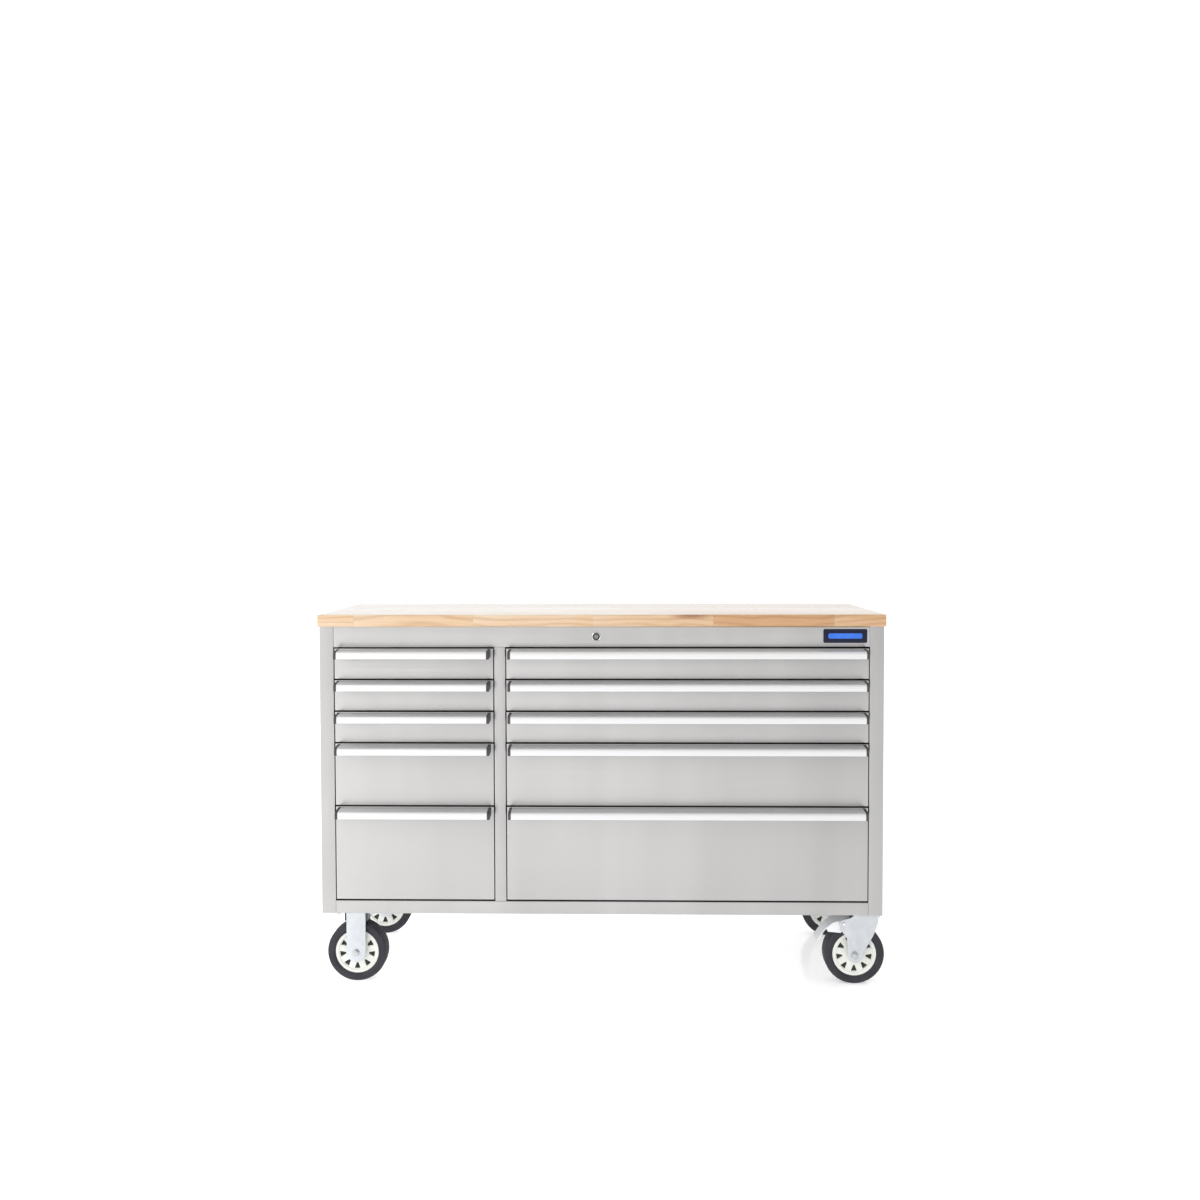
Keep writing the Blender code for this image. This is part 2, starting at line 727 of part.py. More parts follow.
def wheel_set(tag, hub, carrier, finish):
    """The axle on what carries it, and the core and tyre that turn on it."""
    wheel = body(f"{tag}_wheel_body", hub, carrier)
    keep(axle(hub), f"{tag}_axle", carrier, finish["zinc"], smooth=True)
    keep(wheel_core(hub), f"{tag}_wheel_core", wheel, finish["rim"], smooth=True)
    keep(tyre(hub), f"{tag}_tyre", wheel, finish["rubber"], smooth=True)


def casters(cabinet, finish):
    zinc = finish["zinc"]
    for row, inset in CASTER_ROWS.items():
        middle = back(inset)
        keep(fixed_bracket(middle), f"fixed_{row}_bracket", cabinet, zinc)
        wheel_set(f"fixed_{row}", Vector((FIXED_X, middle, WHEEL_RADIUS)), cabinet, finish)
        keep(swivel_plate(middle), f"swivel_{row}_plate", cabinet, zinc)
        swivel = body(f"swivel_{row}_fork_body", (KINGPIN_X, middle, 0.1725), cabinet)
        keep(fork(middle), f"swivel_{row}_fork", swivel, zinc)
        wheel_set(f"swivel_{row}", Vector((KINGPIN_X - TRAIL, middle, WHEEL_RADIUS)), swivel, finish)
        spot = (KINGPIN_X + PEDAL_PIVOT[0], middle, PEDAL_PIVOT[1])
        press = body(f"swivel_{row}_pedal_body", spot, swivel)
        keep(pedal(middle), f"swivel_{row}_pedal", press, zinc)


def main():
    clear_scene()
    finish = finishes()
    cabinet = body("cabinet", (0, 0, 0))
    steel, inner = finish["stainless"], finish["inner"]
    for side in ("left", "right"):
        side_panel(side, cabinet, steel)
    rails(cabinet, steel)
    divider(cabinet, steel)
    pan(BODY_BOTTOM, BODY_BOTTOM + 0.016, True, "base_pan", cabinet, inner)
    pan(BODY_TOP - 0.012, BODY_TOP - FIT, False, "top_deck", cabinet, inner)
    back_panel(cabinet, steel)
    worktop(cabinet, finish["worktop"])
    slide_panels(cabinet, inner)
    badge(cabinet, finish["badge"])
    lock_housing(cabinet, finish["chrome"])
    lock_plug(cabinet, finish["chrome"])
    lock_bar(cabinet, inner)
    drawers(cabinet, steel, finish["handle"])
    casters(cabinet, finish)
    swivel_edge = KINGPIN_X - TRAIL + WHEEL_RADIUS
    cabinet.location.x = (WORKTOP_WIDTH / 2 - swivel_edge) / 2


main()
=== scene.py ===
from math import cos, pi, radians, sin

import bmesh
import bpy
from mathutils import Matrix, Vector


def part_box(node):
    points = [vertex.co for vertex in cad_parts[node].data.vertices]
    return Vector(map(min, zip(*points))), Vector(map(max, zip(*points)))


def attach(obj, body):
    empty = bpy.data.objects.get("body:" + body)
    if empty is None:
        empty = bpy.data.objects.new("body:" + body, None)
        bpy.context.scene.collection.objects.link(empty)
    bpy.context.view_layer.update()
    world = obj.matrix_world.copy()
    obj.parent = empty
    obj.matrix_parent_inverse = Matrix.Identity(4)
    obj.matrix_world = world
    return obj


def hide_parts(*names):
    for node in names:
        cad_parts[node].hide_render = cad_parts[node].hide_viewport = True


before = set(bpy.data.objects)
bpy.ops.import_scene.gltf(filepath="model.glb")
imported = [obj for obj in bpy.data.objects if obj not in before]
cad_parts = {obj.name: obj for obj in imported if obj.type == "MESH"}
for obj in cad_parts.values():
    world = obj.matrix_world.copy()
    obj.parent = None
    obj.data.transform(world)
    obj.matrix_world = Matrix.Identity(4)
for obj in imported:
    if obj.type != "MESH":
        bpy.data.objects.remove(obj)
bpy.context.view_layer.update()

# ---- sizes in metres -----------------------------------------------------------------------------

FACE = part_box("drawer_left_1")[0].y
SHEET = 0.0012
TRAY_INSET = 0.00925
TRAY_LIFT = 0.006
TRAY_HEADROOM = 0.009
PAN_DEPTH = 0.016
SLIDE_CENTRE = 0.026
SLIDE_REACH = 0.011
SLIDE_HALF = 0.012
SLIDE_ENDS = (0.024, 0.424)
CATCH_ENDS = (0.040, 0.048)
CATCH_HEIGHTS = (0.052, 0.064)
PULL_REACH = 0.042
PULL_BEND = 0.0075
PULL_WALL = 0.0022
CAP_WIDTH = 0.0068
WHEEL_RADIUS = 0.075
RIM_RADIUS = 0.0545
TREAD_HALF = 0.0225
WEB_HALF = 0.0165
WINDOWS = 9
AXLE_RADIUS = 0.005
LEG_OUTER = 0.0305
TRAIL = 0.026
COLUMNS = ("left", "right")
ROWS = ("front", "rear")

# ---- mesh helpers --------------------------------------------------------------------------------


def new_since(shape, before):
    """The vertices added to a bmesh since a set of them was noted."""
    return [vert for vert in shape.verts if vert not in before]


def slab(shape, low, high, ease=0.0, segments=2):
    """A box between two corners, with all its edges rounded by ease."""
    low, high = Vector(low), Vector(high)
    spread = Matrix.LocRotScale((low + high) / 2, None, high - low)
    verts = bmesh.ops.create_cube(shape, size=1.0, matrix=spread)["verts"]
    if ease:
        edges = list({edge for vert in verts for edge in vert.link_edges})
        round_edges(shape, edges, ease, segments)


def round_edges(shape, edges, width, segments=2):
    bmesh.ops.bevel(
        shape,
        geom=edges,
        offset=width,
        offset_type="OFFSET",
        segments=segments,
        profile=0.5,
        affect="EDGES",
        clamp_overlap=True,
        material=-1,
    )


def bar(shape, outline, axis, start, end):
    """An outline in the plane across an axis, extruded along it from start to end."""
    place = {
        "X": lambda a, b: Vector((start, a, b)),
        "Y": lambda a, b: Vector((a, start, b)),
        "Z": lambda a, b: Vector((a, b, start)),
    }[axis]
    along = Vector([float(axis == letter) for letter in "XYZ"]) * (end - start)
    face = shape.faces.new([shape.verts.new(place(a, b)) for a, b in outline])
    grown = bmesh.ops.extrude_face_region(shape, geom=[face])
    moved = [item for item in grown["geom"] if isinstance(item, bmesh.types.BMVert)]
    bmesh.ops.translate(shape, verts=moved, vec=along)


def lathe(shape, profile, axis, centre, steps):
    """A closed (radius, height) profile spun about the Y or Z axis through a centre."""
    before = set(shape.verts)
    along = Vector((0, 1, 0)) if axis == "Y" else Vector((0, 0, 1))
    centre = Vector(centre)
    verts = [shape.verts.new(centre + Vector((r, 0, 0)) + along * h) for r, h in profile]
    ring = [
        shape.edges.new(pair)
        for pair, ends in zip(zip(verts, verts[1:] + verts[:1]), zip(profile, profile[1:] + profile[:1]))
        if ends[0][0] > 0 or ends[1][0] > 0
    ]
    bmesh.ops.spin(
        shape, geom=verts + ring, cent=centre, axis=along, angle=2 * pi, steps=steps, use_merge=True
    )
    bmesh.ops.remove_doubles(shape, verts=new_since(shape, before), dist=1e-6)


def arc(centre, radius, start, end, steps):
    """Points on an arc, in degrees, both ends included."""
    angles = [radians(start + (end - start) * i / steps) for i in range(steps + 1)]
    return [(centre[0] + radius * cos(a), centre[1] + radius * sin(a)) for a in angles]


def rounded_box(low, high, radius, steps=5):
    """Outline of a rectangle with round corners."""
    corners = [
        ((high[0] - radius, high[1] - radius), 0),
        ((low[0] + radius, high[1] - radius), 90),
        ((low[0] + radius, low[1] + radius), 180),
        ((high[0] - radius, low[1] + radius), 270),
    ]
    return [point for spot, start in corners for point in arc(spot, radius, start, start + 90, steps)]


def hexagon(shape, centre, radius, height, axis):
    """A hexagon bolt head or nut with its outer corners turned down, standing along an axis."""
    chamfer = radius * 0.12
    before = set(shape.verts)
    bmesh.ops.create_cone(
        shape, cap_ends=True, segments=6, radius1=radius, radius2=radius, depth=abs(height)
    )
    top = [
        edge
        for edge in {edge for vert in new_since(shape, before) for edge in vert.link_edges}
        if all(vert.co.z > 0 for vert in edge.verts)
    ]
    round_edges(shape, top, chamfer)
    verts = new_since(shape, before)
    bmesh.ops.translate(shape, verts=verts, vec=(0, 0, abs(height) / 2))
    if axis == "Y":
        way = 90 if height < 0 else -90
        bmesh.ops.rotate(shape, verts=verts, matrix=Matrix.Rotation(radians(way), 3, "X"))
    elif height < 0:
        bmesh.ops.rotate(shape, verts=verts, matrix=Matrix.Rotation(pi, 3, "X"))
    bmesh.ops.translate(shape, verts=verts, vec=centre)


def dome(shape, centre, radius, height, axis="Y", steps=20):
    """A low rivet or bolt dome, standing along an axis."""
    tall = abs(height)
    sign = 1 if height > 0 else -1
    profile = [(0.0, 0.0), (radius, 0.0)]
    profile += [(radius * cos(radians(a)), sign * tall * sin(radians(a))) for a in (18, 36, 54, 72)]
    profile.append((0.0, sign * tall))
    lathe(shape, profile, axis, centre, steps)


def piece(shape, name, body, finish, replaced=(), crease=32):
    """Turns a bmesh into a finished piece that rides on a body."""
    bmesh.ops.remove_doubles(shape, verts=shape.verts, dist=1e-6)
    bmesh.ops.recalc_face_normals(shape, faces=shape.faces)
    mesh = bpy.data.meshes.new(name)
    shape.to_mesh(mesh)
    shape.free()
    mesh.materials.append(finish)
    mesh.shade_smooth()
    mesh.set_sharp_from_angle(angle=radians(crease))
    thing = bpy.data.objects.new(name, mesh)
    bpy.context.scene.collection.objects.link(thing)
    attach(thing, body)
    if replaced:
        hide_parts(*replaced)
    return thing


def node_copy(node):
    """A merged copy of a CAD node's mesh, with its flat areas joined into single faces."""
    shape = bmesh.new()
    shape.from_mesh(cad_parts[node].data)
    bmesh.ops.remove_doubles(shape, verts=shape.verts, dist=2e-6)
    bmesh.ops.dissolve_limit(
        shape, angle_limit=radians(0.5), verts=shape.verts, edges=shape.edges, use_dissolve_boundaries=False
    )
    return shape


def sharp_edges(shape, angle=30, low=None, high=None):
    """Edges sharper than an angle, and wholly between two corners where they are given."""
    found = []
    for edge in shape.edges:
        if len(edge.link_faces) != 2 or edge.calc_face_angle(0.0) < radians(angle):
            continue
        if low is None or all(
            lo - 1e-5 <= c <= hi + 1e-5 for vert in edge.verts for lo, c, hi in zip(low, vert.co, high)
        ):
            found.append(edge)
    return found


# ---- finishes ------------------------------------------------------------------------------------


class Finish:
    """A Principled material with short ways to add and wire its nodes."""

    def __init__(self, name, **sockets):
        self.material = bpy.data.materials.new(name)
        self.material.use_nodes = True
        self.tree = self.material.node_tree
        self.shader = self.tree.nodes["Principled BSDF"]
        for socket, value in sockets.items():
            self.shader.inputs[socket.replace("_", " ")].default_value = value
        colour = sockets["Base_Color"]
        self.material.diffuse_color = colour

    def add(self, kind, settings=(), **inputs):
        """A node; an input named _0 or by its label takes a number, a colour or another node's socket."""
        node = self.tree.nodes.new("ShaderNode" + kind)
        for name, value in dict(settings).items():
            setattr(node, name, value)
        for label, value in inputs.items():
            key = int(label[1:]) if label.startswith("_") else label
            if isinstance(value, bpy.types.NodeSocket):
                self.tree.links.new(value, node.inputs[key])
            else:
                node.inputs[key].default_value = value
        return node

    def place(self, scale=(1, 1, 1), shift=(0, 0, 0)):
        """Object coordinates, stretched by a scale."""
        spot = self.add("TexCoord").outputs["Object"]
        return self.add("Mapping", Vector=spot, Scale=scale, Location=shift).outputs["Vector"]

    def noise(self, where, scale, detail=4.0, roughness=0.55):
        node = self.add("TexNoise", Vector=where, Scale=scale, Detail=detail, Roughness=roughness)
        return node.outputs["Fac"]

    def ramp(self, value, *stops):
        """A colour ramp with (position, colour) stops."""
        node = self.add("ValToRGB", Fac=value)
        band = node.color_ramp
        while len(band.elements) < len(stops):
            band.elements.new(0.5)
        for element, (position, colour) in zip(band.elements, stops):
            element.position = position
            element.color = colour
        return node.outputs["Color"]

    def between(self, value, low, high, from_low=0.3, from_high=0.7):
        """A value mapped from one range to another."""
        node = self.add("MapRange", Value=value)
        for label, number in zip(("From Min", "From Max", "To Min", "To Max"), (from_low, from_high, low, high)):
            node.inputs[label].default_value = number
        return node.outputs["Result"]

    def math(self, operation, first, second=0.0):
        return self.add("Math", {"operation": operation}, _0=first, _1=second).outputs["Value"]

    def wire(self, value, socket):
        self.tree.links.new(value, self.shader.inputs[socket])

    def bump(self, height, strength, distance, over=None):
        node = self.add("Bump", Height=height, Strength=strength, Distance=distance)
        if over is not None:
            self.tree.links.new(over, node.inputs["Normal"])
        self.tree.links.new(node.outputs["Normal"], self.shader.inputs["Normal"])
        return node.outputs["Normal"]


def grey(level, warm=0.0, blue=0.0):
    return (level + warm, level, level - warm + blue, 1.0)


def brushed_stainless(name, level, along="X"):
    """Stainless sheet with fine brush lines along one way and a faint cloudy tone."""
    steel = Finish(name, Base_Color=grey(level, 0.006), Metallic=1.0, Roughness=0.34, IOR=2.5)
    lines_scale = {"X": (2.5, 420.0, 420.0), "Z": (420.0, 420.0, 2.5)}[along]
    lines = steel.noise(steel.place(lines_scale), 1.0, 3.0, 0.6)
    bands = {"X": (7.0, 3.0, 0.8), "Z": (3.0, 3.0, 2.5)}[along]
    cloud = steel.noise(steel.place(bands), 1.0, 2.0)
    tone = steel.add("Mix", {"data_type": "RGBA"}, _0=lines, _6=grey(level * 0.95, 0.006), _7=grey(level * 1.05, 0.006))
    soft = steel.between(cloud, 0.94, 1.05)
    steel.wire(
        steel.add("HueSaturation", Color=tone.outputs[2], Value=soft, Saturation=1.0).outputs["Color"], "Base Color"
    )
    steel.wire(steel.between(lines, 0.28, 0.42), "Roughness")
    steel.bump(lines, 0.05, 0.0002)
    return steel.material


def inner_steel():
    """Zinc-coated liner steel with a soft spangle."""
    steel = Finish("inner_zinc_steel", Base_Color=grey(0.42, 0.0, 0.01), Metallic=1.0, Roughness=0.45)
    spangle = steel.add("TexVoronoi", Vector=steel.place((1, 1, 1)), Scale=90.0).outputs["Color"]
    flake = steel.add("SeparateColor", Color=spangle).outputs["Red"]
    steel.wire(steel.ramp(flake, (0.0, grey(0.38)), (1.0, grey(0.48, 0.0, 0.012))), "Base Color")
    steel.wire(steel.between(flake, 0.38, 0.52, 0.0, 1.0), "Roughness")
    return steel.material


def laminated_timber():
    """Oiled board of glued staves that run along the width, with finger-jointed lengths and growth rings; the top face
    carries a painted cool grey shade, and the board pales towards the left, partly from stave tone and partly from
    painted light.
    """
    wood = Finish(
        "laminated_timber", Base_Color=(0.70, 0.46, 0.25, 1.0), Roughness=0.30, Coat_Weight=1.0, Coat_Roughness=0.16, Coat_IOR=1.6
    )
    spot = wood.add("SeparateXYZ", Vector=wood.add("TexCoord").outputs["Object"])
    along, across, up = spot.outputs["X"], spot.outputs["Y"], spot.outputs["Z"]
    lanes = wood.math("DIVIDE", wood.math("ADD", across, 1.0 - FACE + 0.006), 0.040)
    row = wood.math("FLOOR", lanes)
    row_chance = wood.add("TexWhiteNoise", {"noise_dimensions": "1D"}, W=row).outputs["Value"]
    length = wood.math("ADD", wood.math("MULTIPLY", row_chance, 0.12), 0.20)
    lengths = wood.math("DIVIDE", wood.math("ADD", along, wood.math("ADD", row_chance, 1.0)), length)
    block = wood.math("FLOOR", lengths)
    stave = wood.add("CombineXYZ", X=row, Y=block, Z=3.0).outputs["Vector"]
    chance = wood.add("TexWhiteNoise", {"noise_dimensions": "3D"}, Vector=stave)
    tints = wood.add("SeparateColor", Color=chance.outputs["Color"])
    # Paler towards the left, darker and more orange towards the right: partly the staves' own tone, partly painted
    # light falling from the left.
    tone_and_light_drift = wood.between(along, -0.08, 0.52, -0.70, 0.70)
    cloud = wood.noise(wood.place((3.5, 22.0, 22.0)), 1.0, 3.0)
    shade = wood.math("ADD", wood.math("MULTIPLY", chance.outputs["Value"], 0.40), tone_and_light_drift)
    shade = wood.math("ADD", shade, wood.between(cloud, -0.14, 0.14))
    base = wood.ramp(
        shade,
        (0.0, (0.92, 0.83, 0.70, 1.0)),
        (0.35, (0.83, 0.61, 0.39, 1.0)),
        (0.65, (0.70, 0.42, 0.20, 1.0)),
        (1.0, (0.60, 0.33, 0.14, 1.0)),
    )
    warp = wood.noise(wood.place((2.6, 10.0, 10.0)), 1.0, 2.0)
    heart_y = wood.math("ADD", across, wood.between(tints.outputs["Red"], -0.05, 0.05, 0.0, 1.0))
    depth = wood.between(tints.outputs["Green"], 0.025, 0.09, 0.0, 1.0)
    heart_z = wood.math("ADD", wood.math("SUBTRACT", up, 0.93), depth)
    nearest = wood.math("MULTIPLY", wood.math("ROUND", wood.math("DIVIDE", heart_y, 0.16)), 0.16)
    heart = wood.add("CombineXYZ", X=0.0, Y=wood.math("SUBTRACT", heart_y, nearest), Z=heart_z)
    radius = wood.add("VectorMath", {"operation": "LENGTH"}, _0=heart.outputs["Vector"]).outputs["Value"]
    turns = wood.math("ADD", wood.math("MULTIPLY", radius, 700.0), wood.math("MULTIPLY", warp, 34.0))
    rings = wood.between(wood.math("SINE", turns), 0.0, 0.62, -0.1, 1.0)
    grain = wood.noise(wood.place((6.0, 420.0, 420.0)), 1.0, 5.0, 0.7)
    fleck = wood.noise(wood.place((30.0, 260.0, 260.0)), 1.0, 2.0)
    knot_field = wood.add("TexVoronoi", Vector=wood.place((2.6, 15.0, 15.0), (0.37, 0.1, 0.0)), Scale=1.0)
    knots = wood.between(knot_field.outputs["Distance"], 0.85, 0.0, 0.05, 0.17)
    row_seam = wood.math("ABSOLUTE", wood.math("SUBTRACT", wood.math("FRACT", lanes), 0.5))
    end_seam = wood.math("ABSOLUTE", wood.math("SUBTRACT", wood.math("FRACT", lengths), 0.5))
    seam = wood.math(
        "MAXIMUM", wood.between(row_seam, 0.0, 0.55, 0.488, 0.497), wood.between(end_seam, 0.0, 0.75, 0.4972, 0.4992)
    )
    # Painted shade: the top face is multiplied by a cool grey, so it reads greyer and darker than the edges.
    top_face_painted_shade = wood.between(up, 0.0, 1.0, 0.9284, 0.9292)
    layers = (
        (top_face_painted_shade, (0.78, 0.80, 0.84, 1.0)),
        (rings, (0.76, 0.66, 0.53, 1.0)),
        (wood.between(grain, 0.0, 0.5, 0.50, 0.72), (0.76, 0.66, 0.54, 1.0)),
        (knots, (0.42, 0.24, 0.12, 1.0)),
        (seam, (0.62, 0.50, 0.38, 1.0)),
    )
    colour = base
    for amount, tint in layers:
        layer = wood.add("Mix", {"data_type": "RGBA", "blend_type": "MULTIPLY"}, _0=amount, _6=colour, _7=tint)
        colour = layer.outputs[2]
    wood.wire(colour, "Base Color")
    wood.wire(wood.between(fleck, 0.24, 0.36), "Roughness")
    wood.bump(grain, 0.06, 0.0004)
    return wood.material


def anodised_aluminium():
    """Bright satin extrusion with drawn lines along its length."""
    metal = Finish("satin_aluminium", Base_Color=grey(0.76, 0.0, 0.004), Metallic=0.82, Roughness=0.50)
    lines = metal.noise(metal.place((1.5, 700.0, 700.0)), 1.0, 2.0)
    metal.wire(metal.ramp(lines, (0.3, grey(0.73)), (0.7, grey(0.79, 0.0, 0.004))), "Base Color")
    metal.wire(metal.between(lines, 0.44, 0.56), "Roughness")
    metal.bump(lines, 0.03, 0.0001)
    return metal.material


def moulded(name, colour, roughness, dust, grain=900.0, strength=0.12):
    """Moulded plastic or rubber: fine skin grain and a paler dust in broad patches."""
    skin = Finish(name, Base_Color=colour, Roughness=roughness)
    patches = skin.noise(skin.place(), 28.0, 3.0)
    fine = skin.noise(skin.place(), grain, 2.0)
    skin.wire(skin.ramp(patches, (0.4, colour), (0.75, dust)), "Base Color")
    skin.wire(skin.between(fine, roughness - 0.06, roughness + 0.08), "Roughness")
    skin.bump(fine, strength, 0.0003)
    return skin.material


def plated(name, level, roughness, warm=0.0, cloudy=0.05, metallic=1.0):
    """Plated steel with a faint cloudiness and tiny pits; a negative warmth is a cool, slightly green cast."""
    metal = Finish(name, Base_Color=grey(level, warm), Metallic=metallic, Roughness=roughness)
    cloud = metal.noise(metal.place(), 45.0, 4.0)
    pits = metal.noise(metal.place(), 1100.0, 2.0)
    patches = metal.ramp(cloud, (0.3, grey(level - cloudy, warm)), (0.7, grey(level + cloudy / 2, warm)))
    metal.wire(patches, "Base Color")
    metal.wire(metal.between(cloud, roughness - 0.04, roughness + 0.06), "Roughness")
    metal.bump(pits, 0.04, 0.0001)
    return metal.material


def enamel(name, dark, light):
    """Stove enamel with a slight orange-peel and a little change in depth."""
    coat = Finish(name, Base_Color=dark, Roughness=0.38, Specular_IOR_Level=0.3)
    peel = coat.noise(coat.place(), 260.0, 2.0)
    depth = coat.noise(coat.place(), 35.0, 2.0)
    coat.wire(coat.ramp(depth, (0.3, dark), (0.7, light)), "Base Color")
    coat.bump(peel, 0.05, 0.0003)
    return coat.material


STEEL = brushed_stainless("brushed_stainless", 0.46)
POST_STEEL = brushed_stainless("brushed_stainless_upright", 0.44, "Z")
INNER = inner_steel()
TIMBER = laminated_timber()
ALUMINIUM = anodised_aluminium()
CAP_PLASTIC = moulded("pull_cap_plastic", (0.035, 0.036, 0.040, 1.0), 0.45, (0.055, 0.056, 0.06, 1.0))
ZINC = plated("bright_zinc", 0.60, 0.34, -0.022)
# A paler, less metallic copy of the zinc for the pedals: painted light, so they stay bright where plain zinc mirrors
# the dark underside.
PEDAL_ZINC_PAINTED_LIGHT = plated("pedal_zinc_painted_light", 0.86, 0.48, -0.015, 0.04, 0.2)
BOLT_ZINC = plated("bolt_zinc", 0.52, 0.26, -0.01)
NYLON = moulded("rim_nylon", (0.84, 0.85, 0.80, 1.0), 0.42, (0.77, 0.78, 0.73, 1.0))
RUBBER = moulded("tyre_rubber", (0.019, 0.019, 0.026, 1.0), 0.66, (0.032, 0.032, 0.040, 1.0), 700.0, 0.25)
# Near-black for the disc inside the wheel web: painted shade seen through the windows.
WINDOW_PAINTED_SHADE = moulded("wheel_window_painted_shade", (0.020, 0.022, 0.018, 1.0), 0.60, (0.032, 0.034, 0.028, 1.0))
CHROME = plated("lock_chrome", 0.66, 0.16, 0.0, 0.02)
BARREL = plated("lock_barrel_steel", 0.30, 0.34, 0.0, 0.03)
# Near-black for the lock's recess and keyway: painted shade.
LOCK_PAINTED_SHADE = moulded("lock_recess_painted_shade", (0.035, 0.036, 0.038, 1.0), 0.40, (0.05, 0.05, 0.052, 1.0))
NAVY_ENAMEL = enamel("badge_navy_enamel", (0.003, 0.005, 0.022, 1.0), (0.005, 0.008, 0.034, 1.0))
BLUE_ENAMEL = enamel("badge_blue_enamel", (0.035, 0.16, 0.72, 1.0), (0.050, 0.20, 0.80, 1.0))
# Near-black steel for the yoke behind the caster legs: painted shade.
YOKE_PAINTED_SHADE = plated("yoke_painted_shade_zinc", 0.10, 0.42, -0.004, 0.02)

# ---- cabinet -------------------------------------------------------------------------------------


def make_shell():
    """Side sheets, rails and divider: the CAD sheets with their folds rounded."""
    bend, hem = 0.0016, 0.0004
    for side in COLUMNS:
        node = f"side_panel_{side}"
        low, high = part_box(node)
        shape = node_copy(node)
        front_folds = sharp_edges(shape, 60, (low.x, low.y, low.z), (high.x, low.y, high.z))
        rear_folds = sharp_edges(shape, 60, (low.x, high.y, low.z), (high.x, high.y, high.z))
        upright = [edge for edge in front_folds + rear_folds if abs(edge.verts[0].co.z - edge.verts[1].co.z) > 0.1]
        round_edges(shape, upright, bend, 4)
        piece(shape, f"side_sheet_{side}", "cabinet", POST_STEEL, (node,))
    for node, made in (("top_rail", "top_rail_sheet"), ("bottom_rail", "bottom_rail_sheet")):
        low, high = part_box(node)
        shape = node_copy(node)
        folds = sharp_edges(shape, 60, (low.x, low.y, low.z), (high.x, low.y, high.z))
        long_folds = [edge for edge in folds if abs(edge.verts[0].co.x - edge.verts[1].co.x) > 0.1]
        round_edges(shape, long_folds, bend, 4)
        piece(shape, made, "cabinet", STEEL, (node,))
    low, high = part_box("centre_divider")
    shape = node_copy("centre_divider")
    folds = sharp_edges(shape, 60, (low.x, low.y, low.z), (high.x, low.y, high.z))
    upright = [edge for edge in folds if abs(edge.verts[0].co.z - edge.verts[1].co.z) > 0.1]
    round_edges(shape, upright, bend, 4)
    piece(shape, "divider_sheet", "cabinet", POST_STEEL, ("centre_divider",))
    low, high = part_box("back_panel")
    shape = bmesh.new()
    slab(shape, low, high, hem)
    piece(shape, "back_sheet", "cabinet", STEEL, ("back_panel",))
    shape = bmesh.new()
    inset, columns, rows = 0.012, 9, 6
    across = [low.x + inset + (high.x - low.x - 2 * inset) * i / (columns - 1) for i in range(columns)]
    up = [low.z + inset + (high.z - low.z - 2 * inset) * i / (rows - 1) for i in range(rows)]
    spots = [(x, z) for x in across for z in (up[0], up[-1])] + [(x, z) for x in (across[0], across[-1]) for z in up[1:-1]]
    for x, z in spots:
        dome(shape, (x, high.y - 0.0002, z), 0.0035, 0.0013)
    piece(shape, "back_rivets", "cabinet", BOLT_ZINC)


def make_worktop():
    low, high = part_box("worktop")
    shape = bmesh.new()
    slab(shape, low, high, 0.0022, 4)
    piece(shape, "worktop_board", "cabinet", TIMBER, ("worktop",))


def plate_with_round_corners(shape, low, high, radius, near, far):
    bar(shape, rounded_box(low, high, radius), "Y", near, far)
    front = [edge for edge in sharp_edges(shape, 60) if all(abs(vert.co.y - near) < 1e-6 for vert in edge.verts)]
    round_edges(shape, front, 0.0003, 2)


def make_badge():
    """Enamelled plate without any lettering: a navy field and one plain blue stripe."""
    low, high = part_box("name_plate")
    shape = bmesh.new()
    plate_with_round_corners(shape, (low.x, low.z), (high.x, high.z), 0.0040, low.y + 0.0004, high.y)
    piece(shape, "badge_field", "cabinet", NAVY_ENAMEL, ("name_plate",))
    side, rise = 0.012, 0.0105
    shape = bmesh.new()
    plate_with_round_corners(
        shape, (low.x + side, low.z + rise), (high.x - side, high.z - rise), 0.0040, low.y, low.y + 0.0006
    )
    piece(shape, "badge_stripe", "cabinet", BLUE_ENAMEL)


# ---- lock ----------------------------------------------------------------------------------------


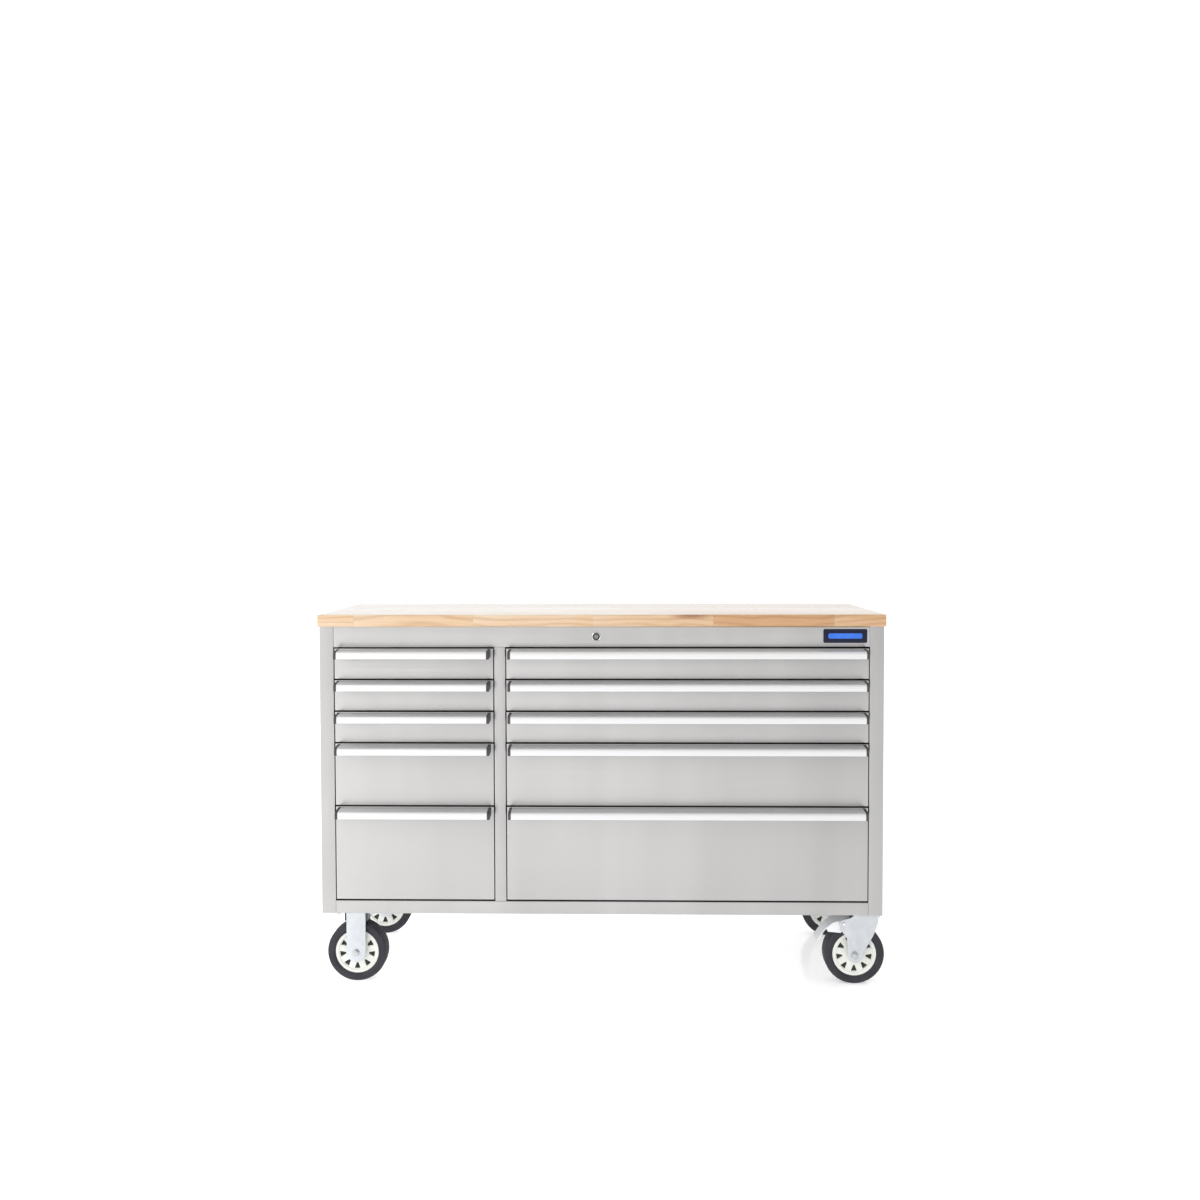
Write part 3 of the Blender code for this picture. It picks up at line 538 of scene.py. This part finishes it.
def make_lock():
    """Round bezel with its recess painted near-black as shade, and a key barrel with its slot, whose inside is painted
    near-black as shade.
    """
    low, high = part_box("lock_housing")
    centre = Vector(((low.x + high.x) / 2, FACE, (low.z + high.z) / 2))
    profile = [(0.0090, -0.0014), (0.0092, -0.0026), (0.0099, -0.0030), (0.0108, -0.0026), (0.0112, -0.0016)]
    profile += [(0.0112, -0.0003), (0.0093, -0.0003), (0.0093, 0.0220), (0.0082, 0.0220), (0.0082, -0.0003)]
    shape = bmesh.new()
    lathe(shape, profile, "Y", centre, 48)
    piece(shape, "lock_bezel", "cabinet", CHROME, ("lock_housing",))
    # Near-black ring in the bezel's recess: painted shade.
    shape = bmesh.new()
    lathe(shape, [(0.0054, -0.0014), (0.0058, -0.0018), (0.0086, -0.0018), (0.0091, -0.0012), (0.0081, 0.0200), (0.0054, 0.0200)], "Y", centre, 40)
    piece(shape, "lock_recess", "cabinet", LOCK_PAINTED_SHADE)
    shape = bmesh.new()
    outer = [shape.verts.new((centre.x + x, FACE - 0.0034, centre.z + z)) for x, z in arc((0, 0), 0.0046, 0, 345, 23)]
    slot_points = rounded_box((-0.0008, -0.0031), (0.0008, 0.0031), 0.0007)
    inner = [shape.verts.new((centre.x + x, FACE - 0.0034, centre.z + z)) for x, z in slot_points]
    loops = [shape.edges.new(pair) for ring in (outer, inner) for pair in zip(ring, ring[1:] + ring[:1])]
    band = bmesh.ops.bridge_loops(shape, edges=loops)["faces"]
    grown = bmesh.ops.extrude_face_region(shape, geom=band)
    moved = [item for item in grown["geom"] if isinstance(item, bmesh.types.BMVert)]
    bmesh.ops.translate(shape, verts=moved, vec=(0, -0.0006, 0))
    piece(shape, "lock_key_face", "lock_plug", BARREL)
    # Near-black plate behind the key slot: painted shade inside the keyway.
    shape = bmesh.new()
    bar(shape, rounded_box((centre.x - 0.0012, centre.z - 0.0035), (centre.x + 0.0012, centre.z + 0.0035), 0.0008), "Y", FACE - 0.00355, FACE - 0.0033)
    piece(shape, "lock_key_slot", "lock_plug", LOCK_PAINTED_SHADE)


# ---- drawers -------------------------------------------------------------------------------------


def open_box(shape, low, high, open_side, ease):
    """A thin open box: one side taken off, outer edges rounded, then given its wall inwards."""
    spread = Matrix.LocRotScale((Vector(low) + Vector(high)) / 2, None, Vector(high) - Vector(low))
    bmesh.ops.create_cube(shape, size=1.0, matrix=spread)
    shape.faces.ensure_lookup_table()
    lid = [face for face in shape.faces if face.normal.dot(Vector(open_side)) > 0.9]
    bmesh.ops.delete(shape, geom=lid, context="FACES")
    inner_edges = [edge for edge in shape.edges if len(edge.link_faces) == 2]
    round_edges(shape, inner_edges, ease, 4)
    bmesh.ops.remove_doubles(shape, verts=shape.verts, dist=1e-6)
    middle = (Vector(low) + Vector(high)) / 2
    wrong = [face for face in shape.faces if face.normal.dot(face.calc_center_median() - middle) < 0]
    bmesh.ops.reverse_faces(shape, faces=wrong)
    bmesh.ops.solidify(shape, geom=shape.faces[:], thickness=SHEET)


def make_drawer(column, number):
    name = f"{column}_{number}"
    body = f"drawer_{name}"
    low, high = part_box(body)
    shape = bmesh.new()
    open_box(shape, low, (high.x, low.y + PAN_DEPTH, high.z), (0, 1, 0), 0.0014)
    piece(shape, f"drawer_front_{name}", body, STEEL, (body,))
    left, right = low.x + TRAY_INSET, high.x - TRAY_INSET
    floor, rim = low.z + TRAY_LIFT, high.z - TRAY_HEADROOM
    shape = bmesh.new()
    open_box(shape, (left, low.y + 0.0014, floor), (right, high.y, rim), (0, 0, 1), 0.0012)
    piece(shape, f"drawer_tray_{name}", body, STEEL)
    shape = bmesh.new()
    hem, fold = 0.0008, 0.009
    for wall, way in ((left, 1), (right, -1)):
        slab(
            shape,
            (min(wall + way * SHEET, wall + way * (SHEET + hem)), low.y + 0.004, rim - fold),
            (max(wall + way * SHEET, wall + way * (SHEET + hem)), high.y - 0.004, rim - 0.0002),
            0.0003,
        )
    slab(shape, (left + 0.004, high.y - SHEET - hem, rim - fold), (right - 0.004, high.y - SHEET, rim - 0.0002), 0.0003)
    piece(shape, f"drawer_hem_{name}", body, STEEL)
    shape = bmesh.new()
    middle = low.z + SLIDE_CENTRE
    for wall, way in ((left, -1), (right, 1)):
        tip = wall + way * SLIDE_REACH
        skin = 0.0016
        channel = [
            (tip, middle + SLIDE_HALF),
            (wall, middle + SLIDE_HALF),
            (wall, middle - SLIDE_HALF),
            (tip, middle - SLIDE_HALF),
            (tip, middle - SLIDE_HALF + skin),
            (wall + way * skin, middle - SLIDE_HALF + skin),
            (wall + way * skin, middle + SLIDE_HALF - skin),
            (tip, middle + SLIDE_HALF - skin),
        ]
        bar(shape, channel, "Y", low.y + SLIDE_ENDS[0], low.y + SLIDE_ENDS[1])
        core = sorted((wall + way * 0.0030, wall + way * 0.0085))
        slab(
            shape,
            (core[0], low.y + SLIDE_ENDS[0] + 0.004, middle - 0.0065),
            (core[1], low.y + SLIDE_ENDS[1] - 0.010, middle + 0.0065),
            0.0014,
        )
    piece(shape, f"drawer_slides_{name}", body, ZINC)
    inner_wall, way = (right, 1) if column == "left" else (left, -1)
    across = sorted((inner_wall, inner_wall + way * 0.0082))
    shape = bmesh.new()
    slab(
        shape,
        (across[0], low.y + CATCH_ENDS[0], low.z + CATCH_HEIGHTS[0]),
        (across[1], low.y + CATCH_ENDS[1], low.z + CATCH_HEIGHTS[1]),
        0.0009,
    )
    piece(shape, f"drawer_catch_{name}", body, ZINC)


def pull_section(top):
    """Section of the pull in Y and Z: flange on the drawer face, sloping top, lip with a rolled lower edge."""
    bend = (FACE + PULL_BEND - PULL_REACH, top - 0.0117)
    tail, lip, foot = FACE - 0.0003, FACE - PULL_REACH, top - 0.0225
    half_wall = PULL_WALL / 2
    outline = [(tail, top - 0.0022), (tail - 0.0006, top - 0.0018)]
    outline += arc(bend, PULL_BEND, 90, 180, 10)
    outline += arc((lip + half_wall, foot + half_wall), half_wall, 180, 360, 8)
    outline += arc(bend, PULL_BEND - PULL_WALL, 180, 90, 8)
    corner = (tail - PULL_WALL - 0.0015, top - 0.0041 - 0.0015)
    outline += arc(corner, 0.0015, 90, 0, 4)
    outline += arc((tail - half_wall, top - 0.0190 + half_wall), half_wall, 180, 360, 6)
    return outline


def cap_section(top):
    """Solid end cap a little larger than the pull's section."""
    proud, lip, foot = 0.0005, FACE - PULL_REACH - 0.0005, top - 0.0230
    bend = (FACE + PULL_BEND - PULL_REACH, top - 0.0117)
    outline = [(FACE - 0.0006, top - 0.0013)] + arc(bend, PULL_BEND + proud, 90, 180, 10)
    outline += arc((lip + 0.0016, foot + 0.0016), 0.0016, 180, 262, 4)
    outline += [(FACE - 0.0006, top - 0.0195)]
    return outline


def make_pull(column, number):
    name = f"{column}_{number}"
    node, body = f"handle_{name}", f"drawer_{name}"
    low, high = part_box(node)
    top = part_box(body)[1].z
    shape = bmesh.new()
    bar(shape, pull_section(top), "X", low.x + 0.003, high.x - 0.003)
    piece(shape, f"pull_{name}", body, ALUMINIUM, (node,))
    for end, start, stop in (("left", low.x, low.x + CAP_WIDTH), ("right", high.x - CAP_WIDTH, high.x)):
        shape = bmesh.new()
        bar(shape, cap_section(top), "X", start, stop)
        outside = start if end == "left" else stop
        rim = [edge for edge in shape.edges if all(abs(vert.co.x - outside) < 1e-6 for vert in edge.verts)]
        round_edges(shape, rim, 0.0007, 3)
        piece(shape, f"pull_cap_{name}_{end}", body, CAP_PLASTIC)


# ---- casters -------------------------------------------------------------------------------------


def hub_of(tag):
    low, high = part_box(f"{tag}_tyre")
    return Vector(((low.x + high.x) / 2, (low.y + high.y) / 2, WHEEL_RADIUS))


def make_tyre(tag, body):
    hub = hub_of(tag)
    inner = RIM_RADIUS + 0.0004
    shoulder = arc((WHEEL_RADIUS - 0.0075, -TREAD_HALF + 0.0075), 0.0075, -90, 0, 8)
    side = [(inner, -0.0190), (0.0585, -0.0212), (0.0600, -0.0222), (0.0612, -TREAD_HALF), (0.0625, -TREAD_HALF + 0.0006)]
    groove = [(WHEEL_RADIUS, -0.0072), (WHEEL_RADIUS - 0.0012, -0.0066), (WHEEL_RADIUS - 0.0012, -0.0052), (WHEEL_RADIUS, -0.0046)]
    half = side + shoulder + groove
    profile = half + [(radius, -height) for radius, height in reversed(half)]
    shape = bmesh.new()
    lathe(shape, profile, "Y", hub, 96)
    bmesh.ops.rotate(shape, verts=shape.verts, cent=hub, matrix=Matrix.Rotation(pi / 2, 3, "Y"))
    piece(shape, f"{tag}_tyre_tread", body, RUBBER, (f"{tag}_tyre",))


def make_wheel(tag, body):
    """Moulded wheel: web with wedge windows, dished rim with a lip, a hub barrel, and a dark disc behind the windows as
    painted shade.
    """
    hub = hub_of(tag)
    steps = 72
    pitch = steps // WINDOWS
    radii = (0.0140, 0.0210, 0.0290, 0.0445, 0.0470)
    shape = bmesh.new()
    spoke = [shape.verts.new((radius, 0, 0)) for radius in radii]
    edges = [shape.edges.new(pair) for pair in zip(spoke, spoke[1:])]
    bmesh.ops.spin(shape, geom=spoke + edges, cent=(0, 0, 0), axis=(0, -1, 0), angle=2 * pi, steps=steps, use_merge=True)
    bmesh.ops.remove_doubles(shape, verts=shape.verts, dist=1e-6)
    angle_step = 2 * pi / steps

    def slot_number(co):
        from_x = Vector((1, 0)).angle_signed(Vector((co.x, co.z)), 0.0)
        return (from_x / angle_step) % steps

    gone = []
    for face in shape.faces:
        spot = face.calc_center_median()
        in_ring = radii[2] < spot.length < radii[3]
        if in_ring and slot_number(spot) % pitch < 4:
            gone.append(face)
    bmesh.ops.delete(shape, geom=gone, context="FACES")
    corners = [
        vert
        for vert in shape.verts
        if abs(vert.co.length - radii[2]) < 1e-4 and any(len(edge.link_faces) == 1 for edge in vert.link_edges)
    ]
    for vert in corners:
        place = round(slot_number(vert.co)) % pitch
        turn = {0: 1.2, 1: 0.6, 3: -0.6, 4: -1.2}.get(place, 0.0) * angle_step
        direction = Vector((1, 0)).angle_signed(Vector((vert.co.x, vert.co.z)), 0.0) + turn
        vert.co.x, vert.co.z = radii[2] * cos(direction), -radii[2] * sin(direction)
    bmesh.ops.recalc_face_normals(shape, faces=shape.faces)
    bmesh.ops.solidify(shape, geom=shape.faces[:], thickness=2 * WEB_HALF)
    middle = (max(vert.co.y for vert in shape.verts) + min(vert.co.y for vert in shape.verts)) / 2
    bmesh.ops.translate(shape, verts=shape.verts, vec=(0, -middle, 0))
    window_rims = [
        edge
        for edge in sharp_edges(shape, 60)
        if radii[1] < (edge.verts[0].co + edge.verts[1].co).length / 2 < radii[4] - 0.001
    ]
    round_edges(shape, window_rims, 0.0010, 2)
    bmesh.ops.translate(shape, verts=shape.verts, vec=hub)
    half = [(0.0462, -0.0160), (0.0468, -0.0182), (0.0476, -0.0192), (0.0490, -0.0195)]
    half += [(0.0506, -0.0193), (0.0514, -0.0184), (0.0522, -0.0184), (0.0530, -0.0192), (0.0539, -0.0192), (0.0545, -0.0184)]
    lathe(shape, half + [(radius, -height) for radius, height in reversed(half)], "Y", hub, 96)
    half = [(0.0056, -0.0258), (0.0062, -0.0262), (0.0128, -0.0262), (0.0138, -0.0254), (0.0146, -0.0190), (0.0158, -0.0160)]
    lathe(shape, half + [(radius, -height) for radius, height in reversed(half)], "Y", hub, 48)
    piece(shape, f"{tag}_wheel_moulding", body, NYLON, (f"{tag}_wheel_core",))
    # Dark disc in the web's mid-plane: painted shade seen through the wedge windows, which go right through.
    shape = bmesh.new()
    lathe(shape, [(0.0200, -0.0110), (0.0465, -0.0110), (0.0465, 0.0110), (0.0200, 0.0110)], "Y", hub, 48)
    piece(shape, f"{tag}_wheel_pocket_floor", body, WINDOW_PAINTED_SHADE)


def make_axle(tag, body):
    """Axle bolt: shank, washers, a hexagon head in front and a lock nut behind."""
    hub = hub_of(tag)
    shape = bmesh.new()
    lathe(shape, [(0, -0.0360), (AXLE_RADIUS, -0.0350), (AXLE_RADIUS, 0.0366), (0.0044, 0.0374), (0, 0.0374)], "Y", hub, 24)
    for sign in (-1, 1):
        start = sign * (LEG_OUTER + 0.0003)
        lathe(
            shape,
            [(AXLE_RADIUS, start), (0.0092, start), (0.0096, start + sign * 0.0004), (0.0092, start + sign * 0.0011), (AXLE_RADIUS, start + sign * 0.0011)],
            "Y",
            hub,
            32,
        )
        hexagon(shape, hub + Vector((0, start + sign * 0.0010, 0)), 0.0080, sign * 0.0042, "Y")
    dome(shape, hub + Vector((0, -LEG_OUTER - 0.0052, 0)), 0.0058, -0.0014)
    piece(shape, f"{tag}_axle_bolt", body, BOLT_ZINC, (f"{tag}_axle",))


def eased_node(node, made, body, finish, width=0.0005, angle=40):
    shape = node_copy(node)
    round_edges(shape, sharp_edges(shape, angle), width, 2)
    piece(shape, made, body, finish, (node,), 28)


def make_fixed_bracket(tag):
    """Top plate and two straight legs in bright zinc, round a square yoke painted near-black as shade."""
    low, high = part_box(f"{tag}_bracket")
    hub = hub_of(tag)
    half, wall, side, end, yoke_low = 0.024, 0.0030, 0.0290, 0.0284, 0.1560
    plate_low, top = high.z - 0.0032, high.z - 0.0010
    shape = bmesh.new()
    bar(shape, rounded_box((low.x, low.y), (high.x, high.y), 0.007), "Z", plate_low, high.z)
    round_edges(shape, sharp_edges(shape, 60), 0.0005)
    for sign in (-1, 1):
        before = set(shape.verts)
        outline = [(hub.x + half, top), (hub.x - half, top)] + arc((hub.x, hub.z), half, 180, 360, 24)
        near, far = sorted((hub.y + sign * (LEG_OUTER - wall), hub.y + sign * LEG_OUTER))
        bar(shape, outline, "Y", near, far)
        leg = set(new_since(shape, before))
        rims = [edge for edge in sharp_edges(shape, 60) if edge.verts[0] in leg and edge.verts[0].co.z < plate_low]
        round_edges(shape, [edge for edge in rims if abs(edge.verts[0].co.y - edge.verts[1].co.y) < 1e-6], 0.0006)
    piece(shape, f"{tag}_bracket_legs", "cabinet", ZINC, (f"{tag}_bracket",))
    # The yoke behind the legs, painted near-black as shade.
    shape = bmesh.new()
    for sign in (-1, 1):
        x_near, x_far = sorted((hub.x + sign * (side - 0.0024), hub.x + sign * side))
        slab(shape, (x_near, hub.y - end, yoke_low), (x_far, hub.y + end, plate_low), 0.0006)
        y_near, y_far = sorted((hub.y + sign * (end - 0.0024), hub.y + sign * end))
        slab(shape, (hub.x - side + 0.0006, y_near, yoke_low), (hub.x + side - 0.0006, y_far, plate_low), 0.0006)
    piece(shape, f"{tag}_bracket_yoke", "cabinet", YOKE_PAINTED_SHADE)


def plate_bolts(shape, low, high, inset, top):
    """Four hexagon bolts up through a top plate."""
    for x in (low.x + inset, high.x - inset):
        for y in (low.y + inset, high.y - inset):
            hexagon(shape, (x, y, top), 0.0062, -0.0042, "Z")


def make_casters():
    for row in ROWS:
        tag = f"fixed_{row}"
        low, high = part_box(f"{tag}_bracket")
        make_fixed_bracket(tag)
        shape = bmesh.new()
        for x in (low.x + 0.0085, high.x - 0.0085):
            for y in (low.y + 0.0070, high.y - 0.0070):
                hexagon(shape, (x, y, high.z - 0.0034), 0.0056, -0.0040, "Z")
        piece(shape, f"{tag}_plate_bolts", "cabinet", BOLT_ZINC)
        make_axle(tag, "cabinet")
        make_wheel(tag, f"{tag}_wheel")
        make_tyre(tag, f"{tag}_wheel")

        tag = f"swivel_{row}"
        low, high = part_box(f"{tag}_plate")
        kingpin = Vector(((low.x + high.x) / 2, (low.y + high.y) / 2, 0))
        shape = bmesh.new()
        bar(shape, rounded_box((low.x, low.y), (high.x, high.y), 0.007), "Z", high.z - 0.0032, high.z)
        profile = [(0.0060, 0.1747), (0.0270, 0.1747), (0.0288, 0.1752), (0.0300, 0.1766), (0.0310, 0.1790), (0.0330, 0.1806), (0.0330, 0.1812), (0.0060, 0.1812)]
        lathe(shape, profile, "Z", kingpin, 56)
        lathe(shape, [(0, 0.1640), (0.0058, 0.1640), (0.0058, 0.1760), (0, 0.1760)], "Z", kingpin, 24)
        hexagon(shape, kingpin + Vector((0, 0, 0.1698)), 0.0098, -0.0068, "Z")
        plate_bolts(shape, low, high, 0.0078, high.z - 0.0034)
        piece(shape, f"{tag}_race_plate", "cabinet", ZINC, (f"{tag}_plate",))
        eased_node(f"{tag}_fork", f"{tag}_pressed_fork", f"{tag}_fork", ZINC)
        make_axle(tag, f"{tag}_fork")
        make_wheel(tag, f"{tag}_wheel")
        make_tyre(tag, f"{tag}_wheel")
        eased_node(f"{tag}_pedal", f"{tag}_pedal_plate", f"{tag}_pedal", PEDAL_ZINC_PAINTED_LIGHT)


# ---- carried over from the CAD, with a finish ----------------------------------------------------


def dress_nodes():
    kept = {
        "base_pan": INNER,
        "top_deck": INNER,
        "lock_bar": ZINC,
        "lock_plug": BARREL,
        "slide_panel_left_inner": INNER,
        "slide_panel_left_outer": INNER,
        "slide_panel_right_inner": INNER,
        "slide_panel_right_outer": INNER,
    }
    for node, finish in kept.items():
        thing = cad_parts[node]
        thing.data.materials.clear()
        thing.data.materials.append(finish)


# ---- stage, light and camera ---------------------------------------------------------------------


def make_stage():
    floor_finish = Finish(
        "pale_floor",
        Base_Color=(0.90, 0.90, 0.91, 1.0),
        Roughness=0.16,
        Emission_Color=(1.0, 1.0, 1.0, 1.0),
        Emission_Strength=0.34,
    )
    spot = floor_finish.add("SeparateXYZ", Vector=floor_finish.place()).outputs["X"]
    floor_finish.wire(floor_finish.between(spot, 0.66, 0.42, -0.6, 0.6), "Emission Strength")
    shape = bmesh.new()
    bmesh.ops.create_grid(shape, x_segments=8, y_segments=8, size=30.0)
    mesh = bpy.data.meshes.new("studio_floor")
    shape.to_mesh(mesh)
    shape.free()
    mesh.materials.append(floor_finish.material)
    floor = bpy.data.objects.new("studio_floor", mesh)
    bpy.context.scene.collection.objects.link(floor)


def soft_light(name, place, aim, size, power):
    lamp = bpy.data.lights.new(name, "AREA")
    lamp.shape = "RECTANGLE"
    lamp.size, lamp.size_y = size
    lamp.energy = power
    thing = bpy.data.objects.new(name, lamp)
    thing.location = place
    thing.rotation_euler = (Vector(aim) - Vector(place)).to_track_quat("-Z", "Y").to_euler()
    bpy.context.scene.collection.objects.link(thing)


def make_lights():
    """White surround, dimmer ahead of the chest on its right, with a soft key, fill and overhead light."""
    world = bpy.data.worlds.new("white_studio")
    bpy.context.scene.world = world
    world.use_nodes = True
    nodes, links = world.node_tree.nodes, world.node_tree.links
    backdrop = nodes["Background"]
    backdrop.inputs["Color"].default_value = (1.0, 1.0, 1.0, 1.0)
    way = nodes.new("ShaderNodeSeparateXYZ")
    links.new(nodes.new("ShaderNodeTexCoord").outputs["Generated"], way.inputs["Vector"])
    ahead = nodes.new("ShaderNodeMapRange")
    for label, number in (("From Min", -0.25), ("From Max", 0.25), ("To Min", 1.22), ("To Max", 0.82)):
        ahead.inputs[label].default_value = number
    links.new(way.outputs["X"], ahead.inputs["Value"])
    level = nodes.new("ShaderNodeMapRange")
    for label, number in (("From Min", -0.2), ("From Max", 0.1), ("To Max", 1.04)):
        level.inputs[label].default_value = number
    links.new(way.outputs["Y"], level.inputs["Value"])
    links.new(ahead.outputs["Result"], level.inputs["To Min"])
    high = nodes.new("ShaderNodeMapRange")
    for label, number in (("From Min", 0.45), ("From Max", 0.70), ("To Min", 1.0), ("To Max", 0.78)):
        high.inputs[label].default_value = number
    links.new(way.outputs["Z"], high.inputs["Value"])
    strength = nodes.new("ShaderNodeMath")
    strength.operation = "MULTIPLY"
    links.new(level.outputs["Result"], strength.inputs[0])
    links.new(high.outputs["Result"], strength.inputs[1])
    links.new(strength.outputs["Value"], backdrop.inputs["Strength"])
    soft_light("key_left", (-3.2, -2.6, 2.6), (0, 0, 0.5), (2.4, 2.4), 50.0)
    soft_light("fill_right", (3.4, -2.0, 2.0), (0, 0, 0.5), (2.0, 2.0), 8.0)
    soft_light("overhead", (0.0, 0.4, 3.4), (0, 0, 0.5), (3.0, 2.0), 5.0)


def make_camera():
    """Standing in front of the chest, a little above the worktop, looking slightly down."""
    yaw, pitch, roll = -0.02213, 0.03605, -0.00235
    ahead = Vector((sin(yaw) * cos(pitch), cos(yaw) * cos(pitch), -sin(pitch)))
    right = Vector((cos(yaw), -sin(yaw), 0.0))
    up = right.cross(ahead)
    level_right = cos(roll) * right + sin(roll) * up
    level_up = -sin(roll) * right + cos(roll) * up
    turn = Matrix((level_right, level_up, -ahead)).transposed()
    lens = bpy.data.cameras.new("studio_camera")
    lens.lens = 35.19
    lens.sensor_width = 36.0
    lens.shift_x, lens.shift_y = 0.00637, -0.01788
    camera = bpy.data.objects.new("studio_camera", lens)
    camera.matrix_world = Matrix.Translation((0.040, -3.0968, 1.1227)) @ turn.to_4x4()
    bpy.context.scene.collection.objects.link(camera)
    bpy.context.scene.camera = camera


# ---- build ---------------------------------------------------------------------------------------

for startup in ("Cube", "Light", "Camera"):
    if startup in bpy.data.objects:
        bpy.data.objects.remove(bpy.data.objects[startup], do_unlink=True)

make_shell()
make_worktop()
make_badge()
make_lock()
for column in COLUMNS:
    for number in range(1, 6):
        make_drawer(column, number)
        make_pull(column, number)
make_casters()
dress_nodes()
make_stage()
make_lights()
make_camera()
bpy.context.scene.view_settings.view_transform = "Standard"
